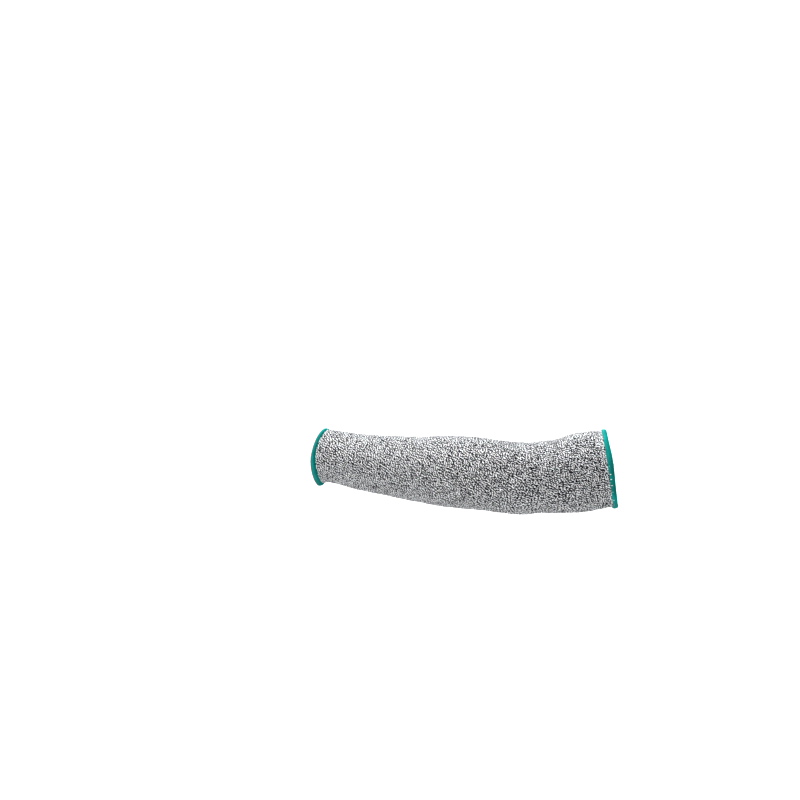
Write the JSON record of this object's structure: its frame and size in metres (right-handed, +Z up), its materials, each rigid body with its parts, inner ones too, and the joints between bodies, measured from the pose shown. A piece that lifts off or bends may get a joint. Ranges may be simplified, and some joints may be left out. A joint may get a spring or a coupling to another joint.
{
  "type": "cut resistant sleeve",
  "caption": "Knitted cut resistant arm sleeve in worn form: a tapered open tube bent a little at the elbow, with a rolled overlock hem at each end.",
  "frame": {"origin": "middle of the hollow at the elbow, where the arm holds the sleeve", "axes": "+X along the sleeve from the wrist end to the upper-arm end, +Z up, +Y to the back (the front that the picture shows faces -Y)"},
  "size_m": [0.3689, 0.0972, 0.0984],
  "materials": {
    "marled_knit": "matt, grey, black and white marled knit",
    "teal_overlock_thread": "slightly shiny close overlock stitching"
  },
  "bodies": {
    "root": {"knit_sleeve": "marled_knit", "wrist_hem": "teal_overlock_thread", "upper_arm_hem": "teal_overlock_thread"}
  },
  "joints": []
}
